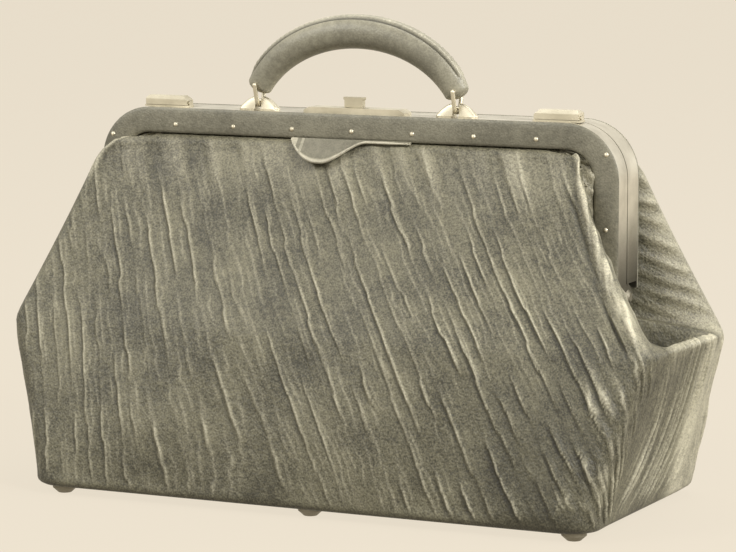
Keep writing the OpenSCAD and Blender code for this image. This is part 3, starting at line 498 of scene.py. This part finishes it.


# End gussets: the same hide, full and gathered below the belly, then folded in between the frame's arms.
# The lower part stays with the bag; the upper part is made as two halves, front and back.
def gusset_grid(z, g):
    # The front half leads to the drawn-in lip's seam and the back half to the full one's
    seam = np.where(g < 0, ridge_y(z, 1), ridge_y(z, -1)) - turn(z) - bend(z) - seam_in
    y = seam * g
    full = np.stack(np.broadcast_arrays(lerp(end_x(z, y, 1), end_x(z, y, -1), (1 + g) / 2), y), -1)
    fold = np.stack(np.broadcast_arrays(lerp(fold_x(z), arm_x(z), np.abs(g)), tuck_y * g), -1)
    points = lerp(full, fold, folded(z)[..., None])
    return np.concatenate([points, np.broadcast_to(z[..., None], points.shape[:2] + (1,))], -1)


def gusset(name, seed, z, g0, g1, cols, sink, half_turn):
    shelf_edge_z = 129
    g = np.linspace(g0, g1, cols)[None]
    z = np.array(z)[:, None]
    points = gusset_grid(z, g)
    y, h = points[..., 1], points[..., 2].copy()
    rim = 1 - ease((np.abs(g) - 0.75) / 0.25)
    # Gathers hang upright from the shelf's edge, then curve towards the front near the bottom
    down = 1 - low(h)
    s = y - 60 * down * (1 - down) + 26 * down ** 2 + 3 * noise(y / 26, h / 45, seed)
    main = crests(s, h, pitch=7.5, width=1.3, seed=seed + 1, run=60, jog=0.8, step=22)
    less = crests(s * 1.05 + 3, h, pitch=3.9, width=0.8, seed=seed + 3, run=30, jog=0.5, step=12)
    below = ease((h - 8) / 14) * (1 - ease((h - 124) / 12)) * rim
    lift = (2.0 * main + 0.6 * less + 1.2 * noise(y / 30, h / 40, seed + 5)) * below
    # A plump crease along the shelf's edge, and a hollow behind it
    edge = np.exp(-((h - shelf_edge_z) / 4.0) ** 2) * rim
    lift += edge * (2.0 + 1.0 * noise(y / 9, h / 30, seed + 7))
    lift += 0.7 * ease((h - 150) / 20) * noise(h / 11 + y / 20, y / 14, seed + 10) * rim
    points = points + outward(points) * lift[..., None]
    points[..., 2] -= 22 * np.sin(math.pi * np.clip((h - shelf_edge_z) / 21, 0, 1)) * rim
    points[..., 0] -= sink * ease((h - 147) / 8)
    # Pale wear and painted highlights on the gathers and along the shelf's edge
    crest = np.clip(0.8 * main + 0.4 * less + 0.06, 0, 1) * below + 0.4 * edge
    # Painted shade in the hollow behind the shelf's edge
    crest -= ease((h - 132) / 5) * lerp(0.8, 0.2, ease((h - 152) / 20)) * rim
    # The edge next to the full corner is made pale, as wear and as a painted highlight, most of all on the right end
    crest += (0.1 if half_turn else 1.15) * ease((g - 0.3) / 0.5) * (1 - ease((h - 120) / 12))
    if half_turn:
        points = points * (-1, -1, 1)
    return hide(name, points, np.stack([s, h], -1), np.clip(crest, -1, 1), body_leather)


split_z = 151
lower_z = np.concatenate([
    foot_z + foot_r * (1 - np.cos(np.linspace(0, math.pi / 2, 6))), np.linspace(foot_end_z, 125, 62),
    np.linspace(126, 150, 40), np.linspace(152, 178, 12)])
upper_z = np.linspace(split_z, rim_z, 60)
for end, turned, seed in (("right", False, 83), ("left", True, 101)):
    lower = gusset(end + "_gusset_lower", seed, lower_z, -1, 1, 151, 1.6, turned)
    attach(lower, "bag")
    upper_a = gusset(end + "_gusset_fold_a", seed + 20, upper_z, -1, 0, 24, 0, turned)
    upper_b = gusset(end + "_gusset_fold_b", seed + 40, upper_z, 0, 1, 24, 0, turned)
    front_fold, back_fold = (upper_b, upper_a) if turned else (upper_a, upper_b)
    for half, jaw, way in ((front_fold, "front_frame", -1), (back_fold, "back_frame", 1)):
        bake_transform(half)
    for piece in (lower, upper_a, upper_b):
        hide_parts(end + "_gusset")


# Bindings: a strip of smooth leather folded over each jaw's flat face and held by the studs.
# Each follows the jaw's U from one arm's foot to the other, a little crowned, with turned edges.
def loft(name, rings, material, crest=None):
    # A skin over closed rings of points (metres), welded along its seam and closed at both ends
    rows, cols = rings.shape[:2]
    bpy.ops.mesh.primitive_grid_add(x_subdivisions=cols, y_subdivisions=rows - 1)
    obj = bpy.context.object
    obj.name = name
    mesh = obj.data
    rings = np.concatenate([rings, rings[:, :1]], 1)
    mesh.vertices.foreach_set("co", rings.astype(np.float32).ravel())
    if crest is not None:
        crest = np.concatenate([crest, crest[:, :1]], 1)
        mesh.attributes.new("crest", "FLOAT", "POINT").data.foreach_set("value", crest.astype(np.float32).ravel())
    mesh.update()
    bpy.ops.object.mode_set(mode="EDIT")
    bpy.ops.mesh.select_all(action="SELECT")
    bpy.ops.mesh.remove_doubles(threshold=0.000002)
    bpy.ops.mesh.fill_holes(sides=0)
    bpy.ops.mesh.normals_make_consistent(inside=False)
    bpy.ops.object.mode_set(mode="OBJECT")
    bpy.ops.object.shade_smooth_by_angle(angle=math.radians(50))
    mesh.materials.append(material)
    bpy.ops.object.select_all(action="DESELECT")
    return obj


binding_leather = leather(
    "binding_leather", dark=(0.15, 0.139, 0.098), pale=(0.3, 0.278, 0.2), worn_and_highlit=(0.66, 0.61, 0.46),
    rough=0.46, bump=0.3, pores=760, speck=0.25)
bow_centre = np.array([0.166, 0.242])
outer, band, arm_foot, jaw_face = 0.040, 0.018, 0.1625, 0.02
bow = np.linspace(0, math.pi / 2, 26)
arm = np.linspace(arm_foot, bow_centre[1], 24)[:-1]
across = np.linspace(0, bow_centre[0], 40)[1:]
# Right half of the U from the arm's foot to the top's middle: centre of turning, outward way
turn_at = np.concatenate([np.stack([0 * arm + bow_centre[0], arm], 1), np.tile(bow_centre, (len(bow), 1)),
                          np.stack([across[::-1], 0 * across + bow_centre[1]], 1)])
way = np.concatenate([np.tile([1, 0], (len(arm), 1)), np.stack([np.cos(bow), np.sin(bow)], 1),
                      np.tile([0, 1], (len(across), 1))])
turn_at = np.concatenate([turn_at, turn_at[::-1][1:] * (-1, 1)])
way = np.concatenate([way, way[::-1][1:] * (-1, 1)])
# Profile across the band: share of the width inwards, and how many mm it stands out from the jaw's face
profile = np.array([[0.0, 0.0], [-0.02, 0.7], [0.03, 1.4], [0.1, 1.75], [0.3, 1.95], [0.5, 2.0], [0.7, 1.95],
                    [0.9, 1.75], [0.97, 1.4], [1.02, 0.7], [1.0, 0.0]])
depth = outer - profile[:, 0] * band
spot = turn_at[:, None] + way[:, None] * depth[None, :, None]
for jaw, face in (("front", -1), ("back", 1)):
    y = face * (jaw_face + profile[:, 1] * mm)
    rings = np.stack([spot[..., 0], np.broadcast_to(y, spot.shape[:2]), spot[..., 1]], -1)
    strip = loft(jaw + "_band_leather", rings, binding_leather)
    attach(strip, jaw + "_frame")
    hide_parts(jaw + "_binding")


# Frame, hinge, lock, catches, studs and bottom: the CAD nodes as they are, with bevelled edges on the metal.
# The steel is plated and satin, the brass is pale and softly polished, and the board is plain wood.
def metal(name, dull, bright, rough, scratch, low_shade=0.0):
    mat = bpy.data.materials.new(name)
    mat.use_nodes = True
    tree = mat.node_tree
    place = add(tree, "ShaderNodeTexCoord").outputs["Object"]
    stain = add(tree, "ShaderNodeTexNoise", {"Vector": place, "Scale": 45, "Detail": 6})
    base = tones(tree, stain.outputs[0], dull, bright, (0.3, 0.62))
    # Low on the arms, between the lips of leather, the metal is darkened with painted shade
    split = add(tree, "ShaderNodeSeparateXYZ", {0: place})
    fade = add(tree, "ShaderNodeMapRange",
               {"Value": split.outputs["Z"], "From Min": 0.222, "From Max": 0.17, "To Max": low_shade})
    colour = tinted(tree, fade.outputs[0], base, (0.1, 0.092, 0.07))
    stretch = add(tree, "ShaderNodeMapping", {"Vector": place, "Scale": (60, 900, 900)})
    brush = add(tree, "ShaderNodeTexNoise", {"Vector": stretch.outputs[0], "Scale": 1, "Detail": 3})
    gloss = add(tree, "ShaderNodeMapRange",
                {"Value": brush.outputs[0], "To Min": rough - 0.1, "To Max": rough + 0.14})
    relief = add(tree, "ShaderNodeBump", {"Strength": scratch, "Distance": 0.0002, "Height": brush.outputs[0]})
    feed(tree, tree.nodes["Principled BSDF"],
         {"Metallic": 1, "Base Color": colour, "Roughness": gloss.outputs[0], "Normal": relief.outputs[0]})
    return mat


steel = metal("frame_steel", dull=(0.44, 0.405, 0.325), bright=(0.62, 0.58, 0.48),
              rough=0.42, scratch=0.12, low_shade=0.9)
brass = metal("pale_brass", dull=(0.46, 0.42, 0.315), bright=(0.66, 0.61, 0.48), rough=0.48, scratch=0.08)
# A darker copy of the brass, as painted shade, for the hinge rivets and bottom nails, darker still low down
shaded_brass = metal("shaded_brass", dull=(0.3, 0.275, 0.205), bright=(0.5, 0.46, 0.36),
                   rough=0.52, scratch=0.08, low_shade=0.6)
board = bpy.data.materials.new("board")
board.use_nodes = True
tree = board.node_tree
place = add(tree, "ShaderNodeTexCoord").outputs["Object"]
stretch = add(tree, "ShaderNodeMapping", {"Vector": place, "Scale": (6, 90, 90)})
fibre = add(tree, "ShaderNodeTexNoise", {"Vector": stretch.outputs[0], "Scale": 1, "Detail": 6})
wood = tones(tree, fibre.outputs[0], (0.17, 0.11, 0.055), (0.36, 0.26, 0.15))
feed(tree, tree.nodes["Principled BSDF"], {"Base Color": wood, "Roughness": 0.75})
finishes = {
    steel: ("front_jaw", "back_jaw", "front_lugs", "back_lugs", "lock_case", "lock_bolt", "lock_keeper"),
    brass: ("front_studs", "back_studs", "left_ring", "right_ring", "lock_plate", "thumb_piece", "left_catch_rail",
            "right_catch_rail", "left_catch_slide", "right_catch_slide", "left_catch_stud", "right_catch_stud"),
    shaded_brass: ("hinge_rivets", "bottom_nails"),
    board: ("bottom_board",),
    body_leather: ("bottom_panel",),
}
for mat, names in finishes.items():
    for name in names:
        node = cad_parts[name]
        node.data.materials.clear()
        node.data.materials.append(mat)
        if mat in (steel, brass, shaded_brass):
            edge = node.modifiers.new("edge", "BEVEL")
            edge.width = 0.0005
            edge.segments = 4
            edge.angle_limit = math.radians(40)

# Staples: two cast brass saddles riveted to the front jaw's top, one under each end of the handle.
# Each has a foot plate with two humps that slope away from the slot where the ring hangs on its pin.
plate_reach, plate_half, plate_thick = 16, 5.5, 1.4
slot_half, hump_rise, hump_half, hump_edge = 2.5, 9.0, 3.2, 0.02
staple_x, staple_y, staple_z = 79, -11.3, 282
pin_rise, pin_radius, pin_half = 7.2, 1.3, 3.1
arch = np.linspace(-1, 1, 17)
circle = np.linspace(0, 2 * math.pi, 25)[:-1]
for side, place in (("left", -staple_x), ("right", staple_x)):
    parts = []
    for way in (-1, 1):
        rings = []
        for t in np.linspace(0, 1, 25):
            x = lerp(slot_half, plate_reach, t)
            p = math.sqrt(max(0.2, plate_half ** 2 - max(0, x - plate_reach + plate_half) ** 2))
            w = min(hump_half * lerp(1, 1.25, t), p - 0.2)
            rise = hump_rise * max(0, math.cos(math.pi / 2 * t)) ** 0.9
            hump = [(w * a, plate_thick + rise * (1 - abs(a) ** 3.2) + hump_edge) for a in arch]
            ring = [(-p, 0), (-p, plate_thick), *hump, (p, plate_thick), (p, 0)]
            rings.append([(place + way * x, staple_y + y, staple_z + z) for y, z in ring])
        parts.append(loft(side + "_saddle_half", np.array(rings) * mm, brass))
    round_pin = [(staple_y + pin_radius * math.cos(a), staple_z + pin_rise + pin_radius * math.sin(a)) for a in circle]
    pin = [[(place + x, y, z) for y, z in round_pin] for x in (-pin_half, 0, pin_half)]
    saddle = loft(side + "_saddle", np.array(pin) * mm, brass)
    for part in (*parts, saddle):
        part.select_set(True)
    bpy.context.view_layer.objects.active = saddle
    bpy.ops.object.join()
    bpy.ops.object.select_all(action="DESELECT")
    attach(saddle, "front_frame")
    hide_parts(side + "_staple")

# Pull tab: a leaf of thick leather under the front band, deep on the left, with a rolled lower edge.
# It is sewn in behind the band and leans forward so that fingers can take it.
tab_left, tab_right, tab_root, tab_drop, tab_lean, tab_half = -47, 48, 0.9, 14.5, 12, 0.7
root = np.array([-22.6, 263.7])
slices, edge_points = 121, 13
down_face = (0, 0.3, 0.6, 0.85)
share = np.linspace(0, 1, slices)
leaf = (1 - (1 - np.clip(share / 0.28, 0, 1)) ** 2.2) * (1 - ease((share - 0.3) / 0.34))
deep = tab_root + tab_drop * leaf
lean = tab_lean * deep / (tab_root + tab_drop) + 1.2
roll = (1.0 + 0.35 * leaf) * lerp(1, 0.4, ease((share - 0.8) / 0.2))
rings = []
for x, d, fall, r in zip(lerp(tab_left, tab_right, share), deep, lean, roll):
    tip = root + (-fall, -d)
    down = (tip - root) / np.hypot(*(tip - root))
    face = np.array([-down[1], down[0]]) * -1
    side = [lerp(root, tip, t) for t in down_face]
    edge = [tip + r * (down * math.cos(a) + face * math.sin(a)) for a in np.linspace(-2.4, 2.4, edge_points)]
    ring = [p - face * tab_half for p in side] + edge + [p + face * tab_half for p in side[::-1]]
    rings.append([(x, *p) for p in ring])
# The rolled edge and the left end are made pale, as wear and as a painted highlight, a pale line runs down beside that
# end, and the rest is a little darker
back_points = len(down_face)
front_from = back_points + edge_points
pale = np.full((slices, front_from + back_points), -0.15)
pale[:, back_points:front_from] = 0.9
pale[:7] = 0.7
pale[11:14, 14:] = 0.4
tab = loft("tab_leather", np.array(rings) * mm, binding_leather, pale)
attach(tab, "front_frame")
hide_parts("pull_tab")

# Handle: a firm leather grip sewn over a core, arched between the two rings, with a welt along its outer side.
# Its ends are drawn in and rounded off at the rings, and two rows of stitches hold the welt.
handle_leather = leather(
    "handle_leather", dark=(0.23, 0.212, 0.152), pale=(0.42, 0.388, 0.28), worn_and_highlit=(0.68, 0.63, 0.48),
    rough=0.42, bump=0.22, pores=680, speck=0.22)
hub_y, eye_z, half, crown = -0.0113, 0.3012, 0.0855, 0.0673
foot_drop, end_drop = 0.027, 0.0051
stitch_long = 0.004
slices = 301
grip_foot = eye_z - foot_drop
start = math.asin((foot_drop - end_drop) / crown)
turn_by = np.linspace(math.pi - start, start, slices)
centre = np.stack([half * np.cos(turn_by), 0 * turn_by + hub_y, grip_foot + crown * np.sin(turn_by)], 1)
away = np.stack([np.cos(turn_by) / half, 0 * turn_by, np.sin(turn_by) / crown], 1)
away /= np.linalg.norm(away, axis=1, keepdims=True)
t = np.linspace(-1, 1, slices)
tall = 0.012 * lerp(1, 0.78, t * t)
wide = 0.011 * lerp(1, 0.54, t * t)
cap = np.sqrt(np.clip(1 - np.clip((np.abs(t) - 0.94) / 0.0605, 0, 1) ** 2, 0, 1))
round_by = np.linspace(0, 2 * math.pi, 81)[:-1]
gap = np.minimum(round_by, 2 * math.pi - round_by)[None]
shown = (1 - ease((np.abs(t) - 0.8) / 0.12))[:, None]
welt = (1 - ease((gap - 0.42) / 0.1)) * shown
groove = np.exp(-((gap - 0.56) / 0.07) ** 2) * shown
# Stitches lie along both sides of the welt
pace = np.concatenate([[0], np.cumsum(np.linalg.norm(np.diff(centre, axis=0), axis=1))])[:, None]
thread = ease(1.6 * np.abs(np.sin(math.pi * pace / stitch_long)) - 0.3)
stitch = np.exp(-((gap - 0.34) / 0.06) ** 2) * thread * shown
raised = 0.0010 * welt - 0.0007 * groove + 0.0005 * stitch
up = np.cos(round_by)[None] * (tall[:, None] + raised)
aside = np.sin(round_by)[None] * (wide[:, None] + raised)
across_grip = away[:, None] * up[..., None] + np.array([0, 1, 0]) * aside[..., None]
rings = centre[:, None] + cap[:, None, None] * across_grip
# A paler welt and stitches, and painted shade in the grooves beside the welt
grip = loft("grip_leather", rings, handle_leather, 0.25 * welt + 0.6 * stitch - 1.0 * groove)
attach(grip, "handle")
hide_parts("handle_grip")
